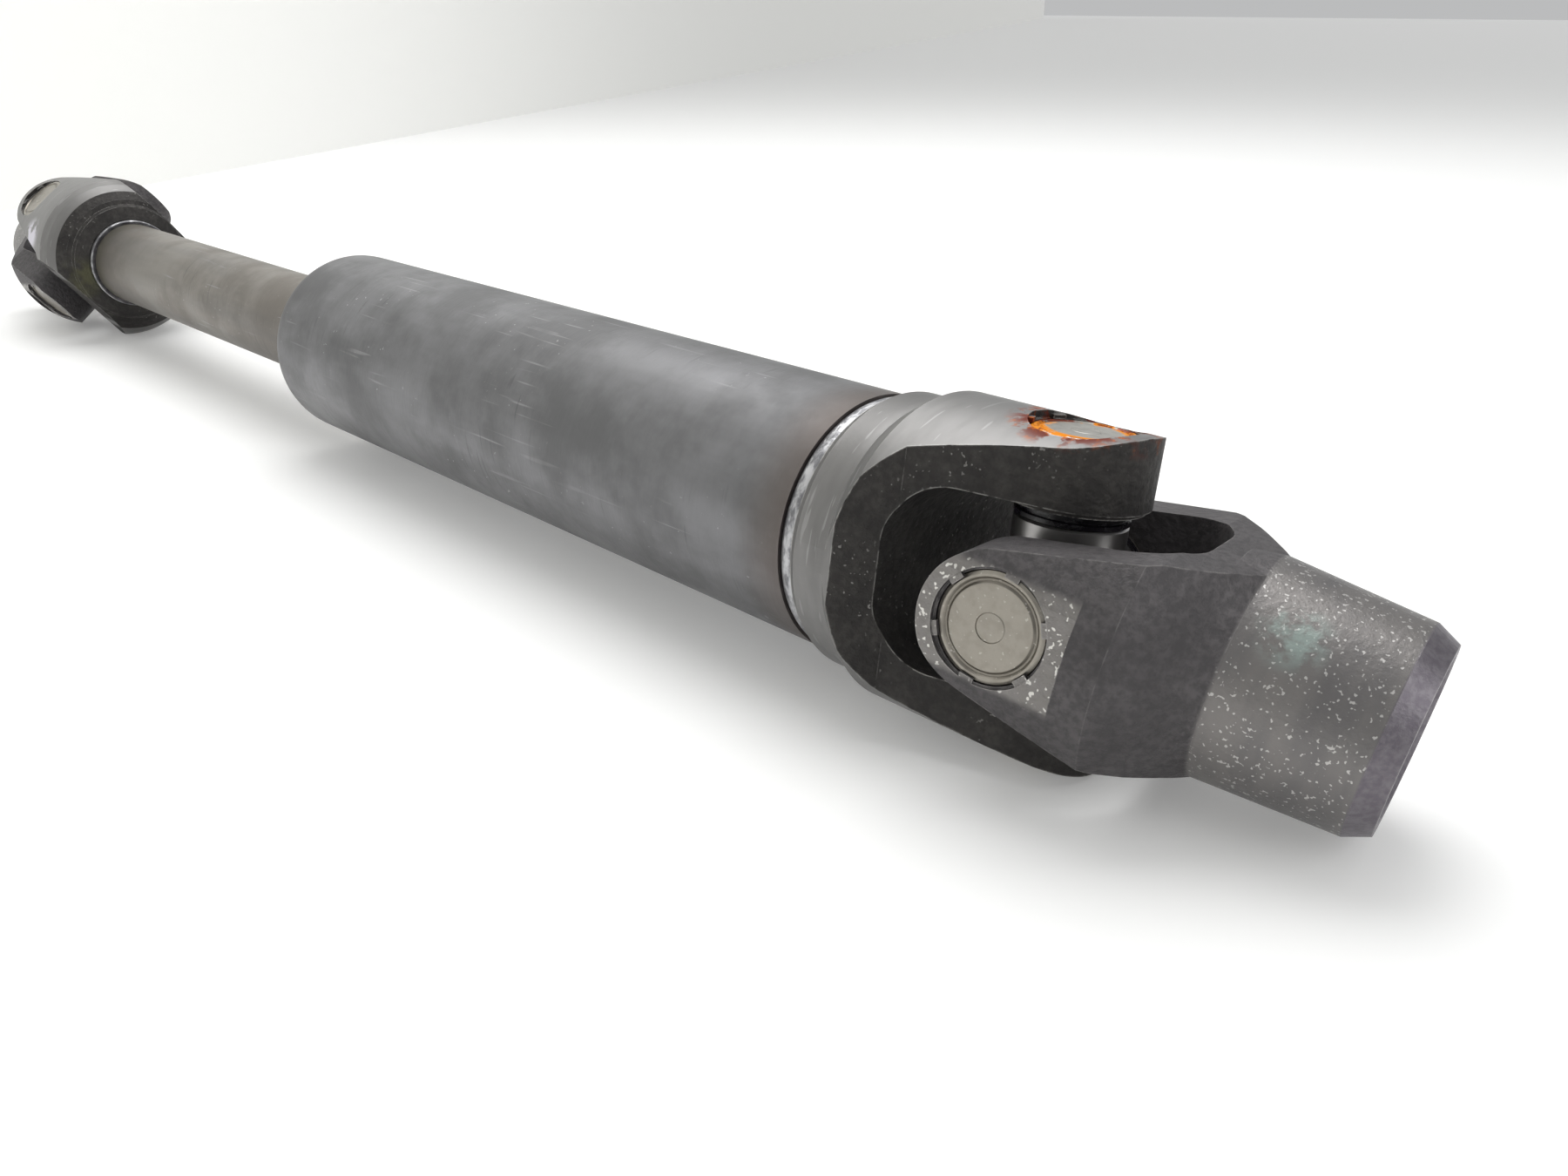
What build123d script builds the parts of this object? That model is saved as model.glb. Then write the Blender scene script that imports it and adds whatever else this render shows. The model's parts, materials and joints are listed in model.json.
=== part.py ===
"""Universal joint shaft: a damped tubular shaft with a needle-bearing universal joint at each end.

Shaft frame while building: +X runs along the shaft towards the front hub, the front joint's centre is the
origin, +Z is up. The finished part is shifted so that its origin is the middle of its footprint, on the
surface that it lies on. Millimetres throughout.
"""

import os
from math import floor, pi

from build123d import *

# ---------------------------------------------------------------- shaft
joint_span = 554.0  # front joint centre to rear joint centre
damper_od = 60.0
damper_wall = 2.5
damper_front = 50.6  # damper tube's front end, back from the front joint centre
damper_length = 247.8
damper_corner = 7.0  # rolled corner at the damper's closed end
inner_od = 34.4
inner_wall = 4.0
end_gap = 1.2  # free ring between the damper's closed end and the inner shaft
rubber_length = 176.0
rubber_inset = 34.0  # rubber's front end, back from the damper's front end
slip = 0.05  # radial gap between pieces that turn on each other
seat = 0.01  # radial gap between pieces pressed or pushed together

# ---------------------------------------------------------------- guide bush at the inner shaft's front end
pilot_d = 18.0
pilot_length = 24.0
spigot_length = 12.0
bush_length = 16.0

# ---------------------------------------------------------------- welds
weld_gap = 4.4
weld_crown = 0.7
weld_sink = 0.9  # bead's edges below the tube's surface
rear_weld_gap = 2.4
front_neck_r = 30.6
rear_weld = 48.5  # rear weld, back from the rear joint centre
rear_spigot_length = 14.0

# ---------------------------------------------------------------- joint
cup_od = 22.0
cup_length = 14.5
cup_floor = 2.0
cup_face = 32.8  # cup's outer face, out from the joint centre
cup_edge = 0.9
trunnion_d = 13.9
needle_d = 2.25
needle_length = 10.4
needle_play = 0.04  # radial gap on each side of a needle
needle_gap = 0.02  # gap between neighbouring needles
thrust_gap = 0.1
shoulder_r = 11.4
shoulder = 15.6  # cross shoulder, out from the joint centre
oil_hole_d = 4.0
seal_r = 11.5
seal_gap = 0.15
hub_stakes = (22, 82, 142, 202, 262, 322)
yoke_stakes = (25, 155, 205, 335)
stake_reach = 0.7
stake_arc = 15.0
stake_height = 0.9
recess_step = 0.5  # counterbore outside the cup, beyond the cup's radius

# ---------------------------------------------------------------- shaft yokes
yoke_r = 34.5
ear_tip_r = 15.0
ear_spread_x = 25.0  # where the ear's flanks end, back from the joint centre
ear_spread = 23.0
front_flank = 31.7  # half the width across the 45 degree flanks behind the front ears
rear_flank = 25.0
band_r = 31.8
band_back = 44.0
band_front = 35.5
cone_front = 31.0
slot_half = 19.5
slot_depth = 27.0
slot_corner = 13.0
boss_r = 14.0
boss_face = 18.6
collar_front = 31.0
crease = 43.0  # crease between the rear yoke's forging and its collar, back from the joint centre
crease_r = 26.0

# ---------------------------------------------------------------- hub yokes
hub_flat = 34.0  # machined ear face, out from the joint centre
hub_flat_end = 15.0
hub_skin = 1.2  # forged surface proud of the machined face
hub_prism_corner = 9.0
hub_round = 35.0  # largest radius of the forging, from the hub's axis
hub_neck_r = 22.7
hub_end_r = 21.0
hub_chamfer = 4.6
hub_chamfer_depth = 2.3
hub_tip_r = 14.6
pilot_bore_d = 32.0
pilot_bore_length = 9.0
spline_minor_d = 26.0
spline_major_d = 29.4
spline_teeth = 24
mouth_chamfer = 0.8

# ---------------------------------------------------------------- what differs between the two hubs
front_hub_half = 21.0  # half the hub's height across its forged ears
front_hub_spread_x = 24.0  # where the ears' flanks reach that height
front_hub_shoulder = 22.0
front_hub_neck = 38.0
front_hub_length = 70.5  # hub's end, out from the joint centre
rear_hub_half = 20.0
rear_hub_spread_x = 16.0
rear_hub_shoulder = 15.0
rear_hub_neck = 32.0
rear_hub_length = 64.0

# ---------------------------------------------------------------- rest pose, in degrees
front_clock = -8.0
front_yaw = 13.1
front_pitch = 8.0
rear_clock = 38.0
rear_yaw = 4.0
rear_pitch = 4.5

# ---------------------------------------------------------------- worked out
damper_r = damper_od / 2
damper_bore_r = damper_r - damper_wall
inner_r = inner_od / 2
inner_bore_r = inner_r - inner_wall
cup_r = cup_od / 2
trunnion_r = trunnion_d / 2
needle_r = needle_d / 2
needle_pitch_r = trunnion_r + needle_play + needle_r
cup_bore_r = needle_pitch_r + needle_r + needle_play
needle_count = floor(2 * pi * needle_pitch_r / (needle_d + needle_gap))
cup_mouth = cup_face - cup_length
trunnion_end = cup_face - cup_floor - thrust_gap
damper_back = damper_front + damper_length
pilot_r = pilot_d / 2


def ring(outer, inner, start, end):
    """A plain ring round the X axis from x = start to x = end."""
    body = Pos(start, 0, 0) * extrude(Plane.YZ * (Circle(outer) - Circle(inner)), end - start)
    return body


def rod(radius, start, end):
    """A plain rod along the X axis."""
    return Pos(start, 0, 0) * extrude(Plane.YZ * Circle(radius), end - start)


def upright(radius, low, high):
    """A plain rod along the Z axis."""
    return Pos(0, 0, low) * extrude(Circle(radius), high - low)


def turned(points):
    """Turns a closed outline of (x, r) points round the X axis."""
    outline = make_face(Polyline(*[(x, r) for x, r in points], close=True))
    return revolve(outline, Axis.X, 360)


def ear_outline(tip_r, spread_x, spread, far_x, far):
    """Half-open ear outline in XY: a round tip at the joint centre, its tangent flanks, then a plain end."""
    tip = Circle(tip_r)
    flanks = make_hull(tip.edges() + Line((spread_x, -spread), (spread_x, spread)).edges())
    back = make_face(
        Polyline((spread_x, -spread), (far_x, -far), (far_x * 3, -far), (far_x * 3, far), (far_x, far),
                 (spread_x, spread), close=True)
    )
    return flanks + back


def slot_outline(depth, half, corner, mouth):
    """U-shaped gap between two ears: flat faces, rounded bottom, open towards +X if depth is behind."""
    bottom = -depth
    inner = min(corner, half - 0.5, depth - 2)
    return make_face(
        [
            Line((mouth, half), (bottom + inner, half)),
            RadiusArc((bottom + inner, half), (bottom, half - inner), -inner),
            Line((bottom, half - inner), (bottom, inner - half)),
            RadiusArc((bottom, inner - half), (bottom + inner, -half), -inner),
            Line((bottom + inner, -half), (mouth, -half)),
            Line((mouth, -half), (mouth, half)),
        ]
    )


def ear_holes():
    """The cup seat through both ears along Z, with the wider mouth outside each cup."""
    seats = upright(cup_r + seat, -yoke_r * 2, yoke_r * 2)
    for side in (1, -1):
        mouth = upright(cup_r + recess_step, cup_face, yoke_r * 2)
        seats += mouth if side > 0 else Rot(180, 0, 0) * mouth
    return seats


def stakes(angles, stock):
    """Metal punched from the ears' own stock over the edges of both cups, at the given angles."""
    arc = 2 * pi * cup_r * stake_arc / 360
    deep = stake_reach + recess_step + 1
    one = Pos(cup_r - stake_reach, 0, cup_face + seat) * Box(
        deep, arc, stake_height, align=(Align.MIN, Align.CENTER, Align.MIN)
    )
    made = [Rot(side, 0, 0) * Rot(0, 0, angle) * one for side in (0, 180) for angle in angles]
    return [piece & stock for piece in made]


def fork(profile, flank):
    """A shaft yoke whose ears stand at +Z and -Z: turned outline, forged flanks, gap, cup seats and stakes."""
    body = turned(profile)
    flare = flank - ear_spread
    outline = ear_outline(ear_tip_r, -ear_spread_x, ear_spread, -(ear_spread_x + flare), flank)
    body &= extrude(outline, yoke_r * 2, both=True)
    gap = slot_outline(slot_depth, slot_half, slot_corner, yoke_r)
    body -= extrude(Plane.XZ * gap, yoke_r * 2, both=True)
    for side in (1, -1):
        start, end = sorted((side * boss_face, side * (slot_half + 2)))
        body += upright(boss_r, start, end)
    return body - ear_holes() + stakes(yoke_stakes, body)


def front_yoke():
    """Front shaft yoke: ears, turned band, neck, spigot in the damper tube and the pilot pin for the bush."""
    start = -(damper_front - weld_gap)
    profile = [
        (ear_tip_r + 2, 0),
        (ear_tip_r + 2, yoke_r),
        (-cone_front, yoke_r),
        (-band_front, band_r),
        (-band_back, band_r),
        (-(band_back + 2), front_neck_r),
        (start, front_neck_r),
        (start, damper_bore_r - seat),
        (-(damper_front + spigot_length), damper_bore_r - seat),
        (-(damper_front + spigot_length), pilot_r),
        (-(damper_front + spigot_length + pilot_length), pilot_r),
        (-(damper_front + spigot_length + pilot_length), 0),
    ]
    return fork(profile, front_flank)


def rear_yoke():
    """Rear shaft yoke: ears, forged shoulder, crease, collar, and the spigot welded into the inner shaft."""
    start = -(rear_weld - rear_weld_gap)
    neck = inner_r + 2
    profile = [
        (ear_tip_r + 2, 0),
        (ear_tip_r + 2, yoke_r),
        (-collar_front, yoke_r),
        (-(collar_front + 4), yoke_r - 1.5),
        (-(crease - 4), yoke_r - 4),
        (-(crease - 0.8), crease_r + 1.2),
        (-crease, crease_r - 0.8),
        (-(crease + 1.2), crease_r - 1.6),
        (start, neck),
        (start, inner_bore_r - seat),
        (-(rear_weld + rear_spigot_length), inner_bore_r - seat),
        (-(rear_weld + rear_spigot_length), 0),
    ]
    return fork(profile, rear_flank)


def weld(radius, bore_r, front, width):
    """Weld bead that fills the groove between a tube's end and a yoke's neck, its edges sunk a little."""
    back, low = front - width, radius - weld_sink
    outline = make_face(
        [
            Line((back, bore_r), (front, bore_r)),
            Line((front, bore_r), (front, low)),
            ThreePointArc((front, low), ((front + back) / 2, low + weld_crown), (back, low)),
            Line((back, low), (back, bore_r)),
        ]
    )
    return revolve(outline, Axis.X, 360)


def damper_tube():
    """Outer tube of the torsional damper, its rear end rolled in over the inner shaft."""
    mouth = inner_r + end_gap
    inside = max(damper_corner - damper_wall, 0.5)
    front, back = -damper_front, -damper_back
    outline = make_face(
        [
            Line((front, damper_bore_r), (front, damper_r)),
            Line((front, damper_r), (back + damper_corner, damper_r)),
            RadiusArc((back + damper_corner, damper_r), (back, damper_r - damper_corner), -damper_corner),
            Line((back, damper_r - damper_corner), (back, mouth)),
            Line((back, mouth), (back + damper_wall, mouth)),
            Line((back + damper_wall, mouth), (back + damper_wall, damper_bore_r - inside)),
            RadiusArc(
                (back + damper_wall, damper_bore_r - inside),
                (back + damper_wall + inside, damper_bore_r),
                inside,
            ),
            Line((back + damper_wall + inside, damper_bore_r), (front, damper_bore_r)),
        ]
    )
    return revolve(outline, Axis.X, 360)


def rubber_sleeve():
    """Rubber between the damper's tube and the inner shaft, dished at both ends."""
    front = -(damper_front + rubber_inset)
    back = front - rubber_length
    inner, outer = inner_r + slip, damper_bore_r - seat
    middle = (inner + outer) / 2
    outline = make_face(
        [
            Line((back, inner), (back, outer)),
            Line((front, outer), (back, outer)),
            ThreePointArc((front, outer), (front - 4, middle), (front, inner)),
            Line((front, inner), (back, inner)),
        ]
    )
    return revolve(outline, Axis.X, 360)


def inner_shaft():
    """Inner shaft: the slim tube from inside the damper to the rear weld."""
    front = -(damper_front + spigot_length + 3)
    return ring(inner_r, inner_bore_r, -(joint_span - rear_weld), front)


def guide_bush():
    """Plain bush in the inner shaft's front end, running on the front yoke's pilot pin."""
    front = -(damper_front + spigot_length + 4)
    return ring(inner_bore_r - seat, pilot_r + slip, front - bush_length, front)


def cross():
    """Cross: two crossed shoulders, four trunnions and the grease drillings."""
    body = None
    for turn in (Rot(0, 0, 0), Rot(90, 0, 0)):
        waist = upright(shoulder_r, -shoulder, shoulder)
        waist = chamfer(waist.edges().filter_by(GeomType.CIRCLE), 0.6)
        pins = upright(trunnion_r, -trunnion_end, trunnion_end)
        pins = chamfer(pins.edges().filter_by(GeomType.CIRCLE), 0.8)
        piece = turn * (waist + pins)
        body = piece if body is None else body + piece
    for turn in (Rot(0, 0, 0), Rot(90, 0, 0)):
        body -= turn * upright(oil_hole_d / 2, -cup_face, cup_face)
    return body


def cup():
    """Bearing cup on +Z: pressed steel, with a rolled rim, a ring groove and a small centre mark outside."""
    groove_out, groove_in, groove_depth = cup_r * 0.875, cup_r * 0.76, 0.45
    mark_out, mark_in, mark_depth = cup_r * 0.27, cup_r * 0.245, 0.12
    points = [
        (0, cup_face - cup_floor),
        (cup_bore_r, cup_face - cup_floor),
        (cup_bore_r, cup_mouth),
        (cup_r, cup_mouth),
        (cup_r, cup_face - cup_edge),
        (cup_r - cup_edge * 0.3, cup_face - cup_edge * 0.3),
        (cup_r - cup_edge, cup_face),
        (groove_out, cup_face),
        (groove_out - groove_depth, cup_face - groove_depth),
        (groove_in + groove_depth, cup_face - groove_depth),
        (groove_in, cup_face - 0.1),
        (mark_out, cup_face - 0.1),
        (mark_out - mark_depth / 2, cup_face - 0.1 - mark_depth),
        (mark_in, cup_face - 0.1),
        (0, cup_face - 0.1),
    ]
    outline = Plane.XZ * make_face(Polyline(*points, close=True))
    return revolve(outline, Axis.Z, 360)


def needles():
    """Full ring of needle rollers between one trunnion and its cup on +Z."""
    low = cup_face - cup_floor - 0.4 - needle_length
    one = Pos(needle_pitch_r, 0, low) * Cylinder(
        needle_r, needle_length, align=(Align.CENTER, Align.CENTER, Align.MIN)
    )
    return Compound(children=[Rot(0, 0, n * 360 / needle_count) * one for n in range(needle_count)])


def seal():
    """Rubber seal on +Z between the cross shoulder and the cup's mouth, with a grooved rim."""
    low, high = shoulder + seal_gap, cup_mouth - seat
    inner = trunnion_r + seal_gap
    third = (high - low) / 3
    points = [
        (inner, low),
        (seal_r, low),
        (seal_r, low + third),
        (seal_r - 0.7, low + 1.2 * third),
        (seal_r - 0.7, low + 1.8 * third),
        (seal_r - 0.1, low + 2 * third),
        (seal_r - 0.1, high),
        (inner, high),
    ]
    outline = Plane.XZ * make_face(Polyline(*points, close=True))
    return revolve(outline, Axis.Z, 360)


def hub_yoke(half, spread_x, shoulder_x, neck, length):
    """Splined hub yoke with its ears at +Z and -Z and its hub along +X."""
    start = -hub_tip_r - 2
    shoulder_profile = [
        (start, 0),
        (start, hub_round),
        (shoulder_x, hub_round),
        (neck - 9, hub_flat - 4),
        (neck - 4, hub_neck_r + 3),
        (neck, hub_neck_r),
        (neck, 0),
    ]
    section = RectangleRounded(2 * half, 2 * (hub_flat + hub_skin), hub_prism_corner)
    prism = Pos(start, 0, 0) * extrude(Plane.YZ * section, neck - start)
    body = turned(shoulder_profile) & prism
    body &= extrude(ear_outline(hub_tip_r, spread_x, half, spread_x + 2, half), yoke_r * 2, both=True)
    for side in (0, 180):
        cut = Box(yoke_r * 2, yoke_r * 4, yoke_r, align=(Align.MAX, Align.CENTER, Align.MIN))
        body -= Rot(side, 0, 0) * Pos(hub_flat_end, 0, hub_flat) * cut
    body += turned(
        [
            (neck - 6, 0),
            (neck - 6, hub_neck_r - 1),
            (neck, hub_neck_r),
            (length - hub_chamfer, hub_end_r),
            (length, hub_end_r - hub_chamfer_depth),
            (length, 0),
        ]
    )
    gap = Rot(0, 0, 180) * slot_outline(slot_depth, slot_half, slot_corner, yoke_r)
    body -= extrude(Plane.XZ * gap, yoke_r * 2, both=True)
    staked = body - ear_holes() + stakes(hub_stakes, body)
    return staked - spline_bore(length)


def spline_bore(length):
    """Everything cut from a hub: splined bore through to the gap, plain pilot and the mouth's chamfer."""
    deep = length - slot_depth + 4
    cut = rod(spline_minor_d / 2, slot_depth - 2, length + 1)
    depth = (spline_major_d - spline_minor_d) / 2
    space = pi * spline_minor_d / spline_teeth / 2
    tooth = Pos(length - deep, 0, spline_minor_d / 2 - 0.6) * Box(
        deep, space, depth + 0.6, align=(Align.MIN, Align.CENTER, Align.MIN)
    )
    cut += [Rot(n * 360 / spline_teeth, 0, 0) * tooth for n in range(spline_teeth)]
    cut += rod(pilot_bore_d / 2, length - pilot_bore_length, length + 1)
    cone = [
        (length - mouth_chamfer, 0),
        (length - mouth_chamfer, pilot_bore_d / 2),
        (length + 0.2, pilot_bore_d / 2 + mouth_chamfer + 0.2),
        (length + 0.2, 0),
    ]
    return cut + turned(cone)


def joint_frames():
    """Where the shaft yoke, cross and hub of each joint sit, as name: (yoke, cross, hub)."""
    frames = {}
    for name, at, face, clock, yaw, pitch in (
        ("front", 0, 0, front_clock, front_yaw, front_pitch),
        ("rear", -joint_span, 180, rear_clock, rear_yaw, rear_pitch),
    ):
        yoke = Pos(at, 0, 0) * Rot(clock, 0, 0) * Rot(0, 0, face)
        middle = yoke * Rot(0, 0, yaw)
        frames[name] = (yoke, middle, middle * Rot(0, pitch, 0))
    return frames


def all_pieces():
    """Every sub-part in the shaft frame, by node name."""
    quarter = Rot(90, 0, 0)  # turns what stands on +Z to face -Y
    pieces = {
        "damper_tube": damper_tube(),
        "damper_rubber": rubber_sleeve(),
        "front_weld": weld(damper_r, damper_bore_r, -(damper_front - weld_gap), weld_gap),
        "inner_shaft": inner_shaft(),
        "guide_bush": guide_bush(),
    }
    bead = weld(inner_r + 1.8, inner_bore_r, -(rear_weld - rear_weld_gap), rear_weld_gap)
    bodies = {"front": front_yoke(), "rear": rear_yoke()}
    hubs = {
        "front": hub_yoke(front_hub_half, front_hub_spread_x, front_hub_shoulder, front_hub_neck, front_hub_length),
        "rear": hub_yoke(rear_hub_half, rear_hub_spread_x, rear_hub_shoulder, rear_hub_neck, rear_hub_length),
    }
    spider, one_cup, one_set, one_seal = cross(), cup(), needles(), seal()
    for name, (yoke, middle, hub_place) in joint_frames().items():
        pieces[f"{name}_shaft_yoke"] = yoke * bodies[name]
        pieces[f"{name}_cross"] = middle * spider
        pieces[f"{name}_hub_yoke"] = hub_place * quarter * hubs[name]
        if name == "rear":
            pieces["rear_weld"] = yoke * bead
        for owner, place in (("shaft", yoke), ("hub", hub_place * quarter)):
            for side, turn in (("a", Rot(0, 0, 0)), ("b", Rot(180, 0, 0))):
                pieces[f"{name}_{owner}_cup_{side}"] = place * turn * one_cup
                pieces[f"{name}_{owner}_needles_{side}"] = place * turn * one_set
                pieces[f"{name}_{owner}_seal_{side}"] = place * turn * one_seal
    return pieces


def footprint_shift(pieces):
    """Shift that puts the origin in the middle of the footprint, on the surface below."""
    boxes = [piece.bounding_box() for piece in pieces.values()]
    low = [min(tuple(box.min)[axis] for box in boxes) for axis in range(3)]
    high = [max(tuple(box.max)[axis] for box in boxes) for axis in range(3)]
    return (-(low[0] + high[0]) / 2, -(low[1] + high[1]) / 2, -low[2])


def main():
    """Builds every sub-part and writes one STEP file for each."""
    os.makedirs("parts", exist_ok=True)
    pieces = all_pieces()
    shift = footprint_shift(pieces)
    for name, piece in pieces.items():
        export_step(Pos(*shift) * piece, f"parts/{name}.step")
    print("front joint centre in the row frame", tuple(round(value, 4) for value in shift))
    return shift


if __name__ == "__main__":
    main()
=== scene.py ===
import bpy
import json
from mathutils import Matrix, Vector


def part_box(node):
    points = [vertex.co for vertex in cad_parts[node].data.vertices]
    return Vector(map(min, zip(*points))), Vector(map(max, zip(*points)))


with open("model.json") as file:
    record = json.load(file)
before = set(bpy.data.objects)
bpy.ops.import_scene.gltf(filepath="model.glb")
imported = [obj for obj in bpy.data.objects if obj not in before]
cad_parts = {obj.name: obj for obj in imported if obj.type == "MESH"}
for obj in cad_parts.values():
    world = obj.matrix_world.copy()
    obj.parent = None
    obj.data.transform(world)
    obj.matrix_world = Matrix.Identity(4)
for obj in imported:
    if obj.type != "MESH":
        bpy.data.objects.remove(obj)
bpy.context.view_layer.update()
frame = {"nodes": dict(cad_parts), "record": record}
# Looks of the universal joint shaft: forged yokes, drawn tubes and staked bearing cups
# on a pale bench. Lengths are in metres unless a name ends in _mm.

import json
import logging
from dataclasses import dataclass, field
from enum import Enum
from math import radians
from typing import Optional

import bpy
from mathutils import Matrix, Vector

LOG = logging.getLogger("universal_joint_shaft")
MM = 0.001
SHAFT_LINE = (0, 1, 1)  # what is kept of a point to measure its distance from local X
TRUNNION_LINE = (1, 1, 0)  # and from local Z
# Number of the Mix node's first input, second input and output, for each kind of data.
MIX_SOCKETS = {"RGBA": (6, 7, 2), "FLOAT": (2, 3, 0)}

Socket = bpy.types.NodeSocket


class Ear(Enum):
    """Which way an ear stands along its trunnion."""

    UP = 1
    DOWN = -1


class Measure(Enum):
    """What tells one zone of a piece from another, in the piece's local frame."""

    ALONG = "distance along the shaft or hub"
    HEIGHT = "signed distance along the trunnion"
    LIFT = "distance along the trunnion, either way"
    SHAFT_RADIUS = "distance from the shaft's line"
    TRUNNION_RADIUS = "distance from the trunnion's line"
    OUTWARD = "how far the surface faces away from the shaft's line"
    FLAT = "how far the surface faces along the trunnion, either way"


def linear(code: str) -> tuple[float, float, float, float]:
    """Turns an sRGB hex colour into linear light.

    Args:
        code: six hex digits after a hash sign.

    Returns:
        Linear red, green and blue, and an alpha of 1.
    """
    parts = [int(code[i:i + 2], 16) / 255 for i in (1, 3, 5)]
    lit = [p / 12.92 if p <= 0.04045 else ((p + 0.055) / 1.055) ** 2.4 for p in parts]
    return (lit[0], lit[1], lit[2], 1.0)


def add(tree: bpy.types.NodeTree, kind: str, feeds: dict, **settings: object) -> bpy.types.Node:
    """Adds a node with its settings, its values and its links.

    Args:
        tree: the node tree.
        kind: the node's type.
        feeds: input name or number to its value, or to the socket that feeds it.
        settings: the node's own properties.

    Returns:
        The new node.
    """
    node = tree.nodes.new(kind)
    for name, value in settings.items():
        setattr(node, name, value)
    for key, value in feeds.items():
        if isinstance(value, Socket):
            tree.links.new(value, node.inputs[key])
        else:
            node.inputs[key].default_value = value
    return node


@dataclass(frozen=True)
class Place:
    """A local frame on the object: where it is and how it is turned, in the row's frame."""

    origin: Vector
    turn: Matrix

    @staticmethod
    def from_axes(origin: Vector, along: Vector, up: Vector) -> "Place":
        """Makes a frame from two of its axes.

        Args:
            origin: the joint's centre.
            along: local X, along the shaft or the hub.
            up: local Z, along the trunnion.

        Returns:
            The frame.
        """
        side = up.cross(along).normalized()
        return Place(origin, Matrix((along, side, up)).transposed())


@dataclass(frozen=True)
class Coat:
    """One thing that lies on a surface: wear, dirt, rust or another finish.

    Attributes:
        colour: its hex colour, or None where it changes the roughness alone.
        where: masks; it shows where all of them are high.
        strength: how much of it shows there.
        roughness: the roughness it brings, or None to leave what lies under it.
    """

    colour: Optional[str]
    where: tuple[Socket, ...]
    strength: float = 1.0
    roughness: Optional[float] = None


@dataclass
class Painter:
    """Works in one material's tree: measures the piece, makes masks and lays coats."""

    tree: bpy.types.NodeTree
    place: Place
    point: Socket = field(init=False)
    normal: Socket = field(init=False)
    measured: dict[Measure, Socket] = field(default_factory=dict)

    def __post_init__(self) -> None:
        """Sets up the point and the normal in the local frame."""
        source = add(self.tree, "ShaderNodeTexCoord", {})
        turn = self.place.turn.to_euler()
        self.point = add(
            self.tree, "ShaderNodeMapping",
            {"Vector": source.outputs["Object"], "Location": self.place.origin, "Rotation": turn},
            vector_type="TEXTURE",
        ).outputs[0]
        self.normal = add(
            self.tree, "ShaderNodeMapping",
            {"Vector": source.outputs["Normal"], "Rotation": turn}, vector_type="TEXTURE",
        ).outputs[0]

    def measure(self, kind: Measure) -> Socket:
        """Measures the piece, with the nodes of each measure made once.

        Args:
            kind: what is measured.

        Returns:
            Its socket: metres, or a cosine for the two that are about facing.
        """
        if kind in self.measured:
            return self.measured[kind]
        if kind in (Measure.SHAFT_RADIUS, Measure.TRUNNION_RADIUS, Measure.OUTWARD):
            keep = TRUNNION_LINE if kind is Measure.TRUNNION_RADIUS else SHAFT_LINE
            flat = add(
                self.tree, "ShaderNodeVectorMath", {0: self.point, 1: keep}, operation="MULTIPLY"
            ).outputs[0]
            if kind is Measure.OUTWARD:
                ray = add(self.tree, "ShaderNodeVectorMath", {0: flat}, operation="NORMALIZE")
                found = add(
                    self.tree, "ShaderNodeVectorMath", {0: self.normal, 1: ray.outputs[0]},
                    operation="DOT_PRODUCT",
                ).outputs["Value"]
            else:
                found = add(
                    self.tree, "ShaderNodeVectorMath", {0: flat}, operation="LENGTH"
                ).outputs["Value"]
        else:
            way = (1, 0, 0) if kind is Measure.ALONG else (0, 0, 1)
            source = self.normal if kind is Measure.FLAT else self.point
            found = add(
                self.tree, "ShaderNodeVectorMath", {0: source, 1: way}, operation="DOT_PRODUCT"
            ).outputs["Value"]
            if kind in (Measure.LIFT, Measure.FLAT):
                found = add(
                    self.tree, "ShaderNodeMath", {0: found}, operation="ABSOLUTE"
                ).outputs[0]
        self.measured[kind] = found
        return found

    def zone(self, by: object, low: float, high: float) -> Socket:
        """A mask that changes smoothly from 0 at low to 1 at high.

        Args:
            by: a Measure, or the socket of any other number.
            low: where the mask is 0; it may be the larger of the two.
            high: where the mask is 1.

        Returns:
            The mask.
        """
        value = self.measure(by) if isinstance(by, Measure) else by
        start, end = (0.0, 1.0) if low < high else (1.0, 0.0)
        return add(
            self.tree, "ShaderNodeMapRange",
            {"Value": value, "From Min": min(low, high), "From Max": max(low, high),
             "To Min": start, "To Max": end},
            interpolation_type="SMOOTHSTEP",
        ).outputs[0]

    def speckle(
        self, size_mm: float, low: float, high: float, detail: float = 3.0,
        stretch: tuple[float, float, float] = (1, 1, 1), shift: float = 0.0,
    ) -> Socket:
        """A mask of patches of a real size.

        Args:
            size_mm: how wide one patch is.
            low: noise value where the mask is 0.
            high: noise value where the mask is 1.
            detail: how much finer noise lies in it.
            stretch: how much longer the patches are along local X, Y and Z.
            shift: moves the pattern, so that two patterns differ.

        Returns:
            The mask.
        """
        moved = add(
            self.tree, "ShaderNodeMapping",
            {"Vector": self.point, "Scale": tuple(1 / s for s in stretch),
             "Location": (shift, shift, shift)},
        )
        noise = add(
            self.tree, "ShaderNodeTexNoise",
            {"Vector": moved.outputs[0], "Scale": 1 / (size_mm * 2 * MM), "Detail": detail,
             "Roughness": 0.6},
        )
        return self.zone(noise.outputs[0], low, high)

    def near(self, spot: tuple[float, float, float], inner: float, outer: float) -> Socket:
        """A mask round a local point.

        Args:
            spot: the point.
            inner: the mask is 1 within this distance of it.
            outer: the mask is 0 beyond this distance.

        Returns:
            The mask.
        """
        gap = add(
            self.tree, "ShaderNodeVectorMath", {0: self.point, 1: spot}, operation="DISTANCE"
        )
        return self.zone(gap.outputs["Value"], outer, inner)

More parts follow.
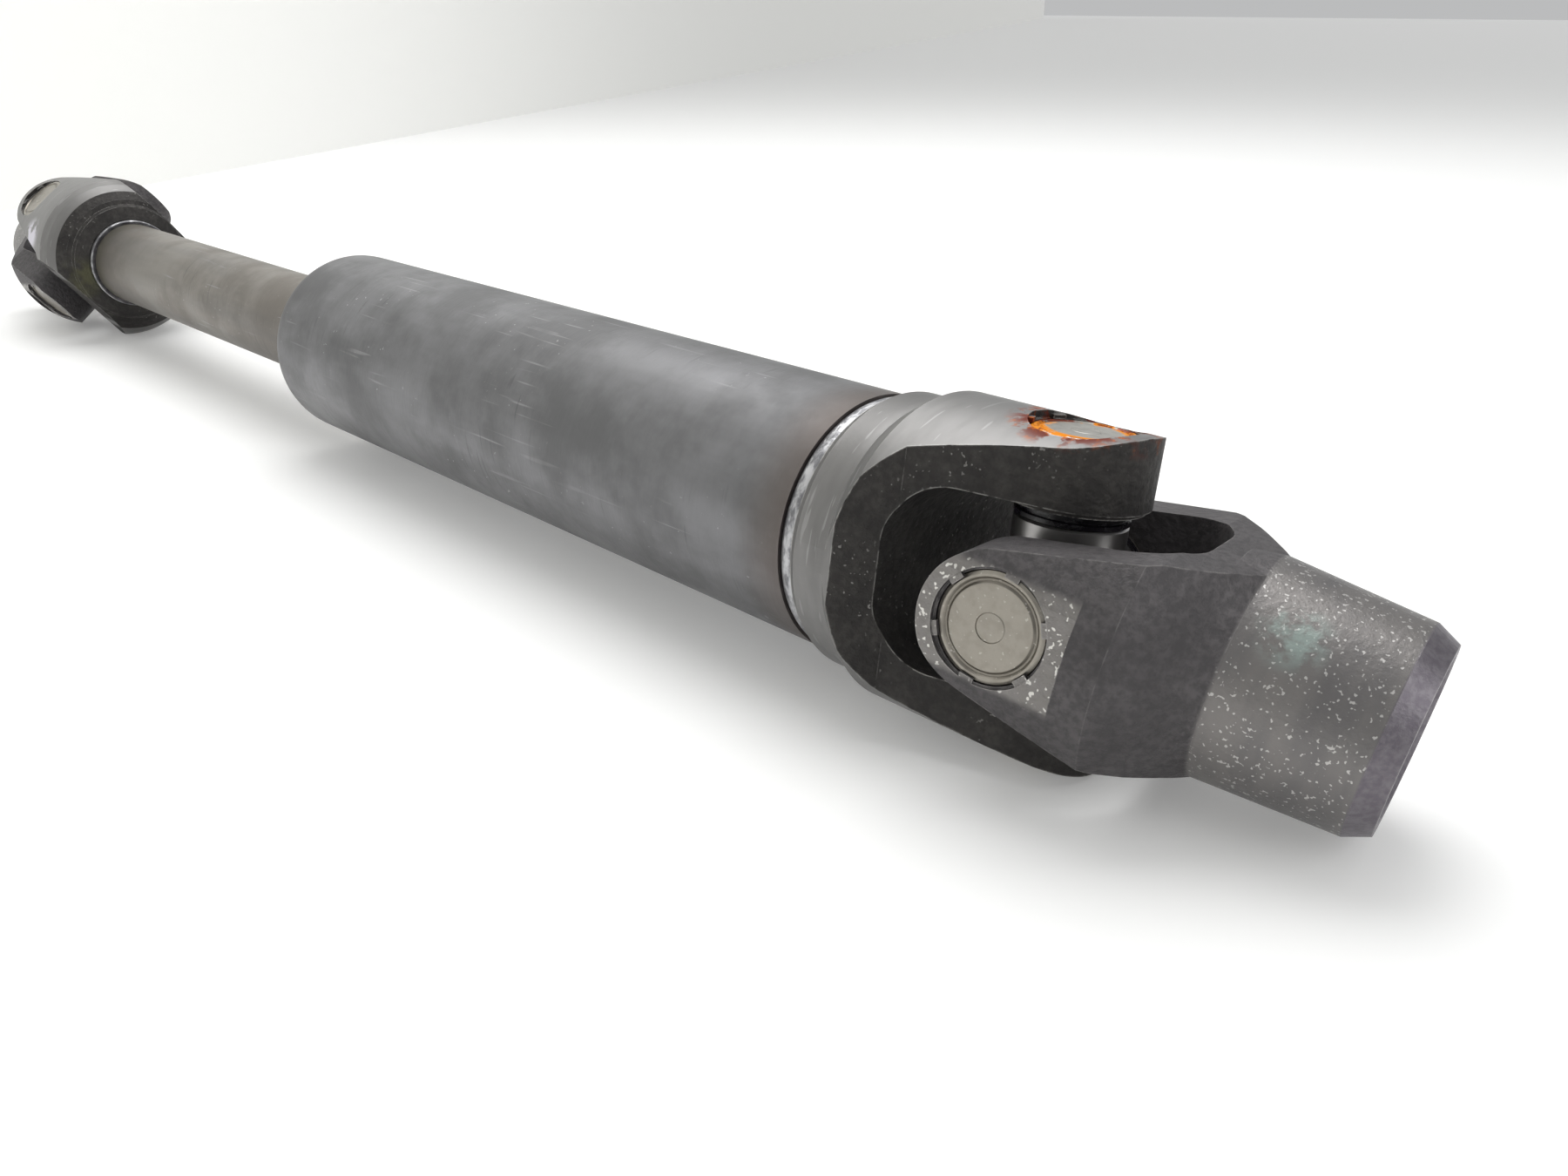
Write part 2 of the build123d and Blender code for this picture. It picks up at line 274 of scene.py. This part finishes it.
    def worn_edges(self, width_mm: float) -> Socket:
        """A mask on sharp edges, where handling has rubbed the metal bright.

        Args:
            width_mm: how far from the edge the wear reaches.

        Returns:
            The mask.
        """
        unworn, worn = 0.985, 0.86
        rounded = add(self.tree, "ShaderNodeBevel", {"Radius": width_mm * MM}, samples=4)
        sharp = add(self.tree, "ShaderNodeNewGeometry", {})
        same = add(
            self.tree, "ShaderNodeVectorMath",
            {0: rounded.outputs[0], 1: sharp.outputs["Normal"]}, operation="DOT_PRODUCT",
        )
        return self.zone(same.outputs["Value"], unworn, worn)

    def overlap(self, masks: tuple[Socket, ...], strength: float = 1.0) -> Socket:
        """Where all of some masks are high.

        Args:
            masks: the masks.
            strength: the result where all of them are 1.

        Returns:
            Their product.
        """
        factors = [*masks[1:], strength] if strength != 1.0 else list(masks[1:])
        result = masks[0]
        for factor in factors:
            result = add(
                self.tree, "ShaderNodeMath", {0: result, 1: factor}, operation="MULTIPLY"
            ).outputs[0]
        return result

    def blend(self, kind: str, mask: Socket, under: object, over: object) -> Socket:
        """Goes from one colour or number to another through a mask.

        Args:
            kind: RGBA or FLOAT.
            mask: 0 shows what is under and 1 what is over.
            under: a value or a socket.
            over: a value or a socket.

        Returns:
            The result.
        """
        first, second, result = MIX_SOCKETS[kind]
        return add(
            self.tree, "ShaderNodeMix", {0: mask, first: under, second: over}, data_type=kind
        ).outputs[result]

    def lay(self, base: str, roughness: float, coats: list[Coat]) -> tuple[object, object]:
        """Lays coats over a bare surface, in order.

        Args:
            base: the bare surface's hex colour.
            roughness: its roughness.
            coats: what lies on it.

        Returns:
            The colour and the roughness, each a value or a socket.
        """
        colour, rough = linear(base), roughness
        for coat in coats:
            mask = self.overlap(coat.where, coat.strength)
            if coat.colour is not None:
                colour = self.blend("RGBA", mask, colour, linear(coat.colour))
            if coat.roughness is not None:
                rough = self.blend("FLOAT", mask, rough, coat.roughness)
        return colour, rough


@dataclass(frozen=True)
class Surface:
    """A bare surface, the coats on it, and its relief where it has one."""

    base: str
    roughness: float
    coats: list[Coat]
    height: Optional[Socket] = None


@dataclass(frozen=True)
class Finish:
    """Plain machined metal: one colour, a few darker oily patches and an even shine."""

    name: str
    place: Place
    base: str
    metallic: float = 1.0
    roughness: float = 0.4

    def surface(self, paint: Painter) -> Surface:
        """Describes the surface; each other finish has its own.

        Args:
            paint: makes the masks.

        Returns:
            The surface.
        """
        oil = paint.speckle(6, 0.4, 0.65)
        return Surface(self.base, self.roughness, [Coat("#2b2b2b", (oil,), 0.25)])

    def material(self) -> bpy.types.Material:
        """Builds the material.

        Returns:
            The finished material.
        """
        made = bpy.data.materials.new(self.name)
        made.use_nodes = True
        tree = made.node_tree
        tree.nodes.clear()
        paint = Painter(tree, self.place)
        surface = self.surface(paint)
        colour, rough = paint.lay(surface.base, surface.roughness, surface.coats)
        feeds = {"Base Color": colour, "Metallic": self.metallic, "Roughness": rough}
        if surface.height is not None:
            feeds["Normal"] = add(
                tree, "ShaderNodeBump",
                {"Strength": 0.6, "Distance": 0.25 * MM, "Height": surface.height},
            ).outputs[0]
        shader = add(tree, "ShaderNodeBsdfPrincipled", feeds)
        add(tree, "ShaderNodeOutputMaterial", {"Surface": shader.outputs[0]})
        return made


@dataclass(frozen=True)
class DrawnTube(Finish):
    """Drawn steel tube: satin grey, with scuffs, fine lines and heat tint beside its weld."""

    mottled: str = "#686869"
    tint: str = "#5d524b"
    weld_at: float = 0.0
    weld_way: float = -1.0
    tint_length: float = 0.016

    def surface(self, paint: Painter) -> Surface:
        """Satin mottling, scratches both ways, scuffed specks and the heat tint.

        Args:
            paint: makes the masks.

        Returns:
            The surface.
        """
        cloud = paint.speckle(14, 0.35, 0.68, 5)
        bands = paint.speckle(5, 0.42, 0.7, 3, (9, 1, 1), 3.1)
        along = paint.speckle(0.7, 0.66, 0.72, 1, (26, 1, 1), 7.7)
        around = paint.speckle(0.7, 0.66, 0.73, 1, (1, 10, 10), 1.3)
        handled = paint.speckle(18, 0.46, 0.62, 2, shift=5.0)
        specks = paint.speckle(0.8, 0.7, 0.75, 2, shift=9.0)
        tint_end = self.weld_at + self.weld_way * self.tint_length
        heat = paint.zone(Measure.ALONG, tint_end, self.weld_at)
        grain = paint.speckle(0.5, 0.3, 0.7, 2, (1, 6, 6), 2.0)
        coats = [
            Coat(self.mottled, (cloud,), roughness=self.roughness + 0.12),
            Coat("#5e5e5f", (bands,), 0.3),
            Coat("#a3a3a4", (along, handled), 0.45),
            Coat("#4c4c4d", (around, handled), 0.35),
            Coat("#c6c6c6", (specks, handled), 0.7),
            Coat(None, (specks, handled), 0.6, roughness=0.7),
            Coat(self.tint, (heat,), 0.6),
        ]
        return Surface(self.base, self.roughness, coats, paint.overlap((grain,), 0.12))


@dataclass(frozen=True)
class ForgedYoke(Finish):
    """Forged shaft yoke: dark rough scale on its flanks, turned bright on its outer curves."""

    forged: str = "#3e3c3b"
    forged_roughness: float = 0.62
    rust: bool = False
    smear: bool = False
    turned_radius: float = 0.0285
    cup_radius: float = 0.011

    def surface(self, paint: Painter) -> Surface:
        """Forged and turned zones, bright nicks, and rust or a smear where the piece has it.

        Args:
            paint: makes the masks.

        Returns:
            The surface.
        """
        turned = paint.overlap((
            paint.zone(Measure.SHAFT_RADIUS, self.turned_radius - 0.0015, self.turned_radius),
            paint.zone(Measure.OUTWARD, 0.80, 0.86),
        ))
        grit = paint.speckle(0.9, 0.35, 0.68, 5)
        scale = paint.speckle(4.0, 0.38, 0.66, 4, shift=4.0)
        flecks = paint.speckle(0.5, 0.67, 0.72, 1, shift=6.0)
        knocked = paint.speckle(9, 0.5, 0.62, 2, shift=2.0)
        cloud = paint.speckle(8, 0.4, 0.65, 4, (1, 3, 3))
        rings = paint.speckle(0.6, 0.66, 0.72, 1, (1, 8, 8), 8.0)
        chips = paint.speckle(1.6, 0.36, 0.56, 3, shift=1.0)
        coats = [
            Coat("#494745", (grit,)),
            Coat("#2f2e2e", (scale,), 0.5),
            Coat("#8f8d8a", (flecks, knocked), 0.8),
            Coat(self.base, (turned,), roughness=self.roughness),
            Coat("#6f6e6d", (turned, cloud)),
            Coat("#a2a2a1", (turned, rings), 0.4),
            Coat("#bdbbb7", (paint.worn_edges(0.5), chips), 0.85),
        ]
        if self.rust:
            coats += self.rusted(paint)
        if self.smear:
            coats += self.smeared(paint)
        height = paint.blend(
            "FLOAT", turned, paint.overlap((grit,), 0.9), paint.overlap((grit,), 0.08)
        )
        return Surface(self.forged, self.forged_roughness, coats, height)

    def rusted(self, paint: Painter) -> list[Coat]:
        """Rust that has crept out of the cup's seat over the upper ear.

        Args:
            paint: makes the masks.

        Returns:
            Its coats.
        """
        crept = (
            paint.zone(
                Measure.TRUNNION_RADIUS, self.cup_radius + 0.0055, self.cup_radius + 0.0003
            ),
            paint.zone(Measure.HEIGHT, 0.030, 0.032),
            paint.speckle(2.4, 0.47, 0.58, 4, shift=11.0),
        )
        fresh = paint.speckle(1.4, 0.5, 0.6, 3, shift=12.0)
        return [
            Coat("#7a2f1a", crept, 0.85),
            Coat("#b9661f", (*crept, fresh), 0.8),
            Coat(None, crept, roughness=0.8),
        ]

    def smeared(self, paint: Painter) -> list[Coat]:
        """A pale smear on one ear and an oily tint on the collar.

        Args:
            paint: makes the masks.

        Returns:
            Their coats.
        """
        smear = paint.near((-0.017, 0.0175, 0.0290), 0.0035, 0.0095)
        oil = paint.near((-0.043, 0.019, 0.010), 0.004, 0.012)
        return [
            Coat("#d9d7de", (smear, paint.speckle(2.5, 0.40, 0.50, 4)), roughness=0.8),
            Coat("#6b6a4c", (oil, paint.speckle(5, 0.35, 0.6, 2)), 0.45),
        ]


@dataclass(frozen=True)
class HubSteel(Finish):
    """Forged hub yoke: milled ears, a dull forged body and a turned, chamfered hub, with painted
    glints and one painted highlight.
    """

    forged: str = "#514f50"
    forged_roughness: float = 0.58
    neck: float = 0.038
    end: float = 0.0705
    chamfer: float = 0.0050
    flat: float = 0.0336
    flat_end: float = 0.0151

    def surface(self, paint: Painter) -> Surface:
        """Forged body, turned hub with its chamfer, and milled ears, each with its own grain,
        plus painted glints on the hub and the ears and a painted highlight on the hub.

        Args:
            paint: makes the masks.

        Returns:
            The surface.
        """
        milled = paint.overlap((
            paint.zone(Measure.FLAT, 0.93, 0.96),
            paint.zone(Measure.LIFT, self.flat - 0.0008, self.flat),
            paint.zone(Measure.ALONG, self.flat_end, self.flat_end - 0.0003),
        ))
        turned = paint.zone(Measure.ALONG, self.neck - 0.0006, self.neck + 0.0006)
        rim = self.end - self.chamfer
        chamfer = paint.zone(Measure.ALONG, rim, rim + 0.0006)
        grit = paint.speckle(0.8, 0.34, 0.68, 5)
        soot = paint.speckle(7, 0.4, 0.65, 4, shift=3.0)
        streaks = paint.speckle(6, 0.38, 0.66, 4, (1, 3, 3), 6.0)
        # Tiny bright specks on the turned hub: painted glints.
        turned_painted_glints = paint.speckle(0.45, 0.64, 0.70, 1, shift=7.0)
        # A pale cyan-green patch on the hub's cone, broken up by the next mask: a painted
        # highlight.
        painted_highlight_patch = paint.near((0.047, 0.0145, 0.016), 0.002, 0.008)
        painted_highlight_breakup = paint.speckle(2, 0.4, 0.6, 3)
        blasted = paint.speckle(1.1, 0.36, 0.64, 4, shift=2.0)
        # Bright specks on the milled ears: painted glints.
        milled_painted_glints = paint.speckle(0.55, 0.62, 0.69, 1, shift=5.0)
        chips = paint.speckle(1.8, 0.38, 0.6, 3, shift=9.0)
        coats = [
            Coat("#625f60", (grit,)),
            Coat("#474546", (soot,), 0.45),
            Coat(self.base, (turned,), roughness=self.roughness),
            Coat("#706e6e", (turned, streaks)),
            # Painted glints on the turned hub.
            Coat("#c9c7c4", (turned, turned_painted_glints), 0.8),
            # Painted highlight: a pale cyan-green patch on the cone.
            Coat("#a8bdb6", (turned, painted_highlight_patch, painted_highlight_breakup), 0.5),
            Coat("#676269", (chamfer,)),
            Coat("#777378", (chamfer, grit)),
            Coat("#7e7b78", (milled,), roughness=0.36),
            Coat(self.base, (milled, blasted)),
            # Painted glints on the milled ears.
            Coat("#d8d6d1", (milled, milled_painted_glints)),
            Coat("#b0adaa", (paint.worn_edges(0.45), chips), 0.6),
        ]
        height = paint.blend(
            "FLOAT", turned, paint.overlap((grit,), 0.8), paint.overlap((grit,), 0.3)
        )
        return Surface(self.forged, self.forged_roughness, coats, height)


@dataclass(frozen=True)
class PressedCup(Finish):
    """Pressed bearing cup: a smooth warm grey disc with a ring groove darkened by painted shade,
    clean or rusted.
    """

    rusty: bool = False
    groove: float = 0.0090

    def surface(self, paint: Painter) -> Surface:
        """Disc, painted shade in the groove and fine scratches, with rust where the cup has it.

        Args:
            paint: makes the masks.

        Returns:
            The surface.
        """
        away = Measure.TRUNNION_RADIUS
        fine = paint.speckle(1.5, 0.4, 0.66, 3)
        # A band over the ring groove, where the next coats paint shade.
        groove_shade_inner = paint.zone(away, self.groove - 0.0009, self.groove - 0.0005)
        groove_shade_outer = paint.zone(away, self.groove + 0.0008, self.groove + 0.0004)
        coats = [
            Coat("#7f7a72", (fine,), 0.35),
            # Painted shade: the groove darkened.
            Coat("#5c574f", (groove_shade_inner, groove_shade_outer), 0.45),
            Coat("#c4c0b8", (paint.speckle(0.4, 0.68, 0.73, 1, shift=3.0),), 0.5),
        ]
        if self.rusty:
            wet = (
                paint.zone(away, self.groove - 0.0022, self.groove - 0.0010),
                paint.speckle(2.2, 0.40, 0.50, 3),
            )
            crust = (
                paint.zone(away, self.groove - 0.0005, self.groove + 0.0008),
                paint.speckle(1.5, 0.46, 0.56, 4, shift=2.0),
            )
            coats += [Coat("#d98a1e", wet, roughness=0.7), Coat("#7a2f1a", crust)]
        return Surface(self.base, self.roughness, coats, paint.overlap((fine,), 0.08))


@dataclass(frozen=True)
class BeadWithPaintedHighlight(Finish):
    """Weld bead: pale grey over its crown, a painted highlight, with a dark line along each edge.
    """

    centre: float = 0.0
    half: float = 0.0022

    def surface(self, paint: Painter) -> Surface:
        """Crown lightened with a painted highlight and rippled, and dark edges.

        Args:
            paint: makes the masks.

        Returns:
            The surface.
        """
        offset = add(
            paint.tree, "ShaderNodeMath", {0: paint.measure(Measure.ALONG), 1: self.centre},
            operation="SUBTRACT",
        )
        from_middle = add(
            paint.tree, "ShaderNodeMath", {0: offset.outputs[0]}, operation="ABSOLUTE"
        )
        edge = paint.zone(from_middle.outputs[0], self.half * 0.62, self.half * 0.95)
        ripple = paint.speckle(0.9, 0.36, 0.62, 4, (1, 2, 2))
        # The pale base is a painted highlight over the crown; the ripple darkens it in patches.
        coats = [Coat("#77777a", (ripple,), roughness=0.5), Coat("#39373a", (edge,), 0.85)]
        return Surface(self.base, self.roughness, coats, paint.overlap((ripple,), 0.9))


@dataclass(frozen=True)
class PlainRubber(Finish):
    """Moulded black rubber: nearly black, a little greasy, duller where dust has settled."""

    metallic: float = 0.0
    roughness: float = 0.22

    def surface(self, paint: Painter) -> Surface:
        """Black with duller dusty patches.

        Args:
            paint: makes the masks.

        Returns:
            The surface.
        """
        dust = paint.speckle(2.0, 0.5, 0.7, 3)
        coats = [Coat("#2a292b", (dust,), 0.3), Coat(None, (dust,), roughness=0.5)]
        return Surface(self.base, self.roughness, coats, paint.overlap((dust,), 0.2))


@dataclass
class Joint:
    """One universal joint: its shaft yoke, cross, hub yoke, cups, needles and seals."""

    name: str
    shaft_place: Place
    hub_place: Place
    rusty_ear: Optional[Ear] = None
    turned_radius: float = 0.0285
    neck: float = 0.038
    end: float = 0.0705

    def finishes(self) -> dict[str, Finish]:
        """Gives every node of the joint its finish.

        Returns:
            Node name to finish.
        """
        end = self.name
        rust = self.rusty_ear is not None
        made: dict[str, Finish] = {
            f"{end}_shaft_yoke": ForgedYoke(
                f"forged_{end}_yoke", self.shaft_place, "#7f7e7d", 0.85, 0.40,
                rust=rust, smear=not rust, turned_radius=self.turned_radius,
            ),
            f"{end}_hub_yoke": HubSteel(
                f"hub_{end}", self.hub_place, "#7f7c7a", 0.8, 0.42, neck=self.neck, end=self.end
            ),
            f"{end}_cross": Finish(
                f"ground_{end}_cross", self.shaft_place, "#a3a1a0", roughness=0.33
            ),
        }
        for owner, place in (("shaft", self.shaft_place), ("hub", self.hub_place)):
            for side, ear in (("a", Ear.UP), ("b", Ear.DOWN)):
                made |= self.bearing(f"{end}_{owner}", side, place,
                                     owner == "shaft" and ear is self.rusty_ear)
        return made

    def bearing(self, key: str, side: str, place: Place, rusty: bool) -> dict[str, Finish]:
        """Gives one trunnion's cup, needles and seal their finishes.

        Args:
            key: the joint and the yoke that holds the cup.
            side: a or b.
            place: the yoke's local frame.
            rusty: whether the cup has rusted.

        Returns:
            Node name to finish.
        """
        base, roughness = ("#b5b3ac", 0.36) if rusty else ("#99948b", 0.34)
        return {
            f"{key}_cup_{side}": PressedCup(
                f"cup_{key}_{side}", place, base, 0.9, roughness, rusty=rusty
            ),
            f"{key}_needles_{side}": Finish(
                f"ground_{key}_{side}", place, "#b4b4b4", roughness=0.2
            ),
            f"{key}_seal_{side}": PlainRubber(f"seal_{key}_{side}", place, "#0f0d12"),
        }


@dataclass
class DamperShaft:
    """The damper tube, the slim inner shaft, their welds, the rubber and the bush."""

    place: Place

    def span(self, node: str) -> tuple[float, float]:
        """Measures where a node begins and ends along the shaft.

        Args:
            node: the node's name.

        Returns:
            Its two ends, from the front joint's centre.
        """
        low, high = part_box(node)
        return low.x - self.place.origin.x, high.x - self.place.origin.x

    def finishes(self) -> dict[str, Finish]:
        """Gives every node of the shaft its finish.

        Returns:
            Node name to finish.
        """
        made: dict[str, Finish] = {
            "damper_tube": DrawnTube(
                "drawn_damper_tube", self.place, "#7b7b7d", 0.9, 0.40,
                weld_at=self.span("damper_tube")[1],
            ),
            "inner_shaft": DrawnTube(
                "drawn_inner_shaft", self.place, "#86827c", 0.9, 0.42, "#77726c", "#6a675a",
                weld_at=self.span("inner_shaft")[0], weld_way=1.0,
            ),
            "damper_rubber": PlainRubber("moulded_damper_rubber", self.place, "#161616"),
            "guide_bush": Finish("machined_bronze", self.place, "#b08d57", roughness=0.35),
        }
        for node in ("front_weld", "rear_weld"):
            low, high = self.span(node)
            # The bead's pale colour is a painted highlight.
            made[node] = BeadWithPaintedHighlight(
                f"bead_{node}", self.place, "#b9b9bb", 0.9, 0.30,
                centre=(low + high) / 2, half=(high - low) / 2,
            )
        return made


@dataclass(frozen=True)
class Lamp:
    """A soft square lamp: where it stands, how wide it is and its watts."""

    name: str
    at: tuple[float, float, float]
    size: float
    watts: float


@dataclass
class Studio:
    """Pale bench, wall behind it, soft lamps and the camera."""

    front_joint: Vector
    camera_offset: tuple[float, float, float] = (0.14281, -0.21068, 0.10879)
    camera_down: float = 23.53
    camera_turn: float = 46.65
    lens: float = 31.0
    bench: str = "#ededec"
    bench_glow: float = 0.22
    wall: str = "#e6e6e3"
    wall_glow: float = 0.28
    wall_foot: tuple[float, float, float] = (-0.74, 0.093, 0)
    wall_way: tuple[float, float, float] = (-0.545, 0.838, 0)
    wall_height: float = 4.0
    reach: float = 12.0
    lamps: tuple[Lamp, ...] = (
        Lamp("over", (-0.25, 0.35, 1.3), 1.3, 17),
        Lamp("left", (-0.9, -0.9, 0.9), 0.9, 5),
        Lamp("right", (1.3, 0.1, 0.7), 0.8, 4),
    )

    def pale(self, name: str, code: str, glow: float) -> bpy.types.Material:
        """A pale matt surface that stays pale where the camera or a reflection sees it.

        Args:
            name: the material's name.
            code: its hex colour.
            glow: how much light it adds there.

        Returns:
            The material.
        """
        made = bpy.data.materials.new(name)
        made.use_nodes = True
        tree = made.node_tree
        tree.nodes.clear()
        colour = linear(code)
        matt = add(tree, "ShaderNodeBsdfPrincipled", {"Base Color": colour, "Roughness": 0.55})
        lit = add(tree, "ShaderNodeEmission", {"Color": colour, "Strength": glow})
        path = add(tree, "ShaderNodeLightPath", {})
        seen = add(
            tree, "ShaderNodeMath",
            {0: path.outputs["Is Camera Ray"], 1: path.outputs["Is Glossy Ray"]},
            operation="MAXIMUM",
        )
        shown = add(tree, "ShaderNodeMixShader", {0: seen.outputs[0], 2: lit.outputs[0]})
        whole = add(tree, "ShaderNodeAddShader", {0: matt.outputs[0], 1: shown.outputs[0]})
        add(tree, "ShaderNodeOutputMaterial", {"Surface": whole.outputs[0]})
        return made

    def sheet(self, name: str, corners: list[Vector], look: bpy.types.Material) -> None:
        """Makes a flat piece of the stage.

        Args:
            name: the piece's name.
            corners: its corners in order.
            look: its material.
        """
        mesh = bpy.data.meshes.new(name)
        mesh.from_pydata([tuple(corner) for corner in corners], [], [tuple(range(len(corners)))])
        mesh.materials.append(look)
        made = bpy.data.objects.new(name, mesh)
        bpy.context.scene.collection.objects.link(made)

    def stage(self) -> None:
        """Makes the bench and the wall."""
        r = self.reach
        floor = [Vector((x, y, 0)) for x, y in ((-r, -r), (r, -r), (r, r), (-r, r))]
        self.sheet("bench", floor, self.pale("bench_top", self.bench, self.bench_glow))
        foot, way = Vector(self.wall_foot), Vector(self.wall_way) * r
        rise = Vector((0, 0, self.wall_height))
        low, high = foot - way * 0.3, foot + way
        panel = [low, high, high + rise, low + rise]
        self.sheet("wall", panel, self.pale("wall_paint", self.wall, self.wall_glow))

    def light(self) -> None:
        """Makes the lamps, aimed at the front joint, and the room's even light."""
        for lamp in self.lamps:
            data = bpy.data.lights.new(lamp.name, "AREA")
            data.size = lamp.size
            data.energy = lamp.watts
            made = bpy.data.objects.new(lamp.name, data)
            made.location = lamp.at
            aim = self.front_joint - Vector(lamp.at)
            made.rotation_euler = aim.to_track_quat("-Z", "Y").to_euler()
            bpy.context.scene.collection.objects.link(made)
        world = bpy.data.worlds.new("room")
        world.use_nodes = True
        room = world.node_tree.nodes["Background"]
        room.inputs["Color"].default_value = linear("#f4f5f6")
        room.inputs["Strength"].default_value = 0.55
        bpy.context.scene.world = world
        bpy.context.scene.view_settings.view_transform = "Standard"

    def camera(self) -> None:
        """Makes the camera, close to the front joint and looking down the shaft."""
        data = bpy.data.cameras.new("camera")
        data.lens = self.lens
        data.sensor_width = 36.0
        data.clip_start = 0.01
        made = bpy.data.objects.new("camera", data)
        made.location = self.front_joint + Vector(self.camera_offset)
        made.rotation_euler = (radians(90 - self.camera_down), 0, radians(self.camera_turn))
        bpy.context.scene.collection.objects.link(made)
        bpy.context.scene.camera = made


def named(entries: list[dict], name: str) -> dict:
    """Finds an entry of the record by its name.

    Args:
        entries: the record's joints or mounts.
        name: the entry's name.

    Returns:
        The entry.
    """
    return next(entry for entry in entries if entry["name"] == name)


def joint_places(end: str, way: float) -> tuple[Place, Place]:
    """Makes the local frames of a joint's shaft yoke and hub yoke.

    Args:
        end: front or rear.
        way: 1 where the hub points along +X, -1 where it points the other way.

    Returns:
        The shaft yoke's frame and the hub yoke's frame, both with Z along their ears.
    """
    joints, mounts = frame["record"]["behaviour"]["joints"], frame["record"]["mounts"]
    ears, swing = named(joints, f"{end}_ears_swing"), named(joints, f"{end}_hub_swing")
    centre = Vector(ears["pos_m"])
    shaft = Place.from_axes(centre, Vector((way, 0, 0)), Vector(ears["axis"]))
    bore = named(mounts, f"{end}_bore")
    hub = Place.from_axes(centre, Vector(bore["axis"]), -Vector(swing["axis"]))
    return shaft, hub


def dress(finishes: dict[str, Finish]) -> None:
    """Gives each node its finished material and reports it.

    Args:
        finishes: node name to finish.
    """
    for node, finish in finishes.items():
        piece = frame["nodes"][node]
        look = finish.material()
        piece.data.materials.clear()
        piece.data.materials.append(look)
        LOG.info("%s: %s", node, look.name)


def main() -> None:
    """Dresses the joints and the shaft, then sets the stage."""
    logging.basicConfig(level=logging.INFO)
    front_shaft, front_hub = joint_places("front", 1.0)
    rear_shaft, rear_hub = joint_places("rear", -1.0)
    dress(Joint("front", front_shaft, front_hub, rusty_ear=Ear.UP).finishes())
    dress(Joint(
        "rear", rear_shaft, rear_hub, turned_radius=0.0290, neck=0.032, end=0.064
    ).finishes())
    dress(DamperShaft(Place(front_shaft.origin, Matrix.Identity(3))).finishes())
    studio = Studio(front_shaft.origin)
    studio.stage()
    studio.light()
    studio.camera()


if __name__ == "__main__":
    main()
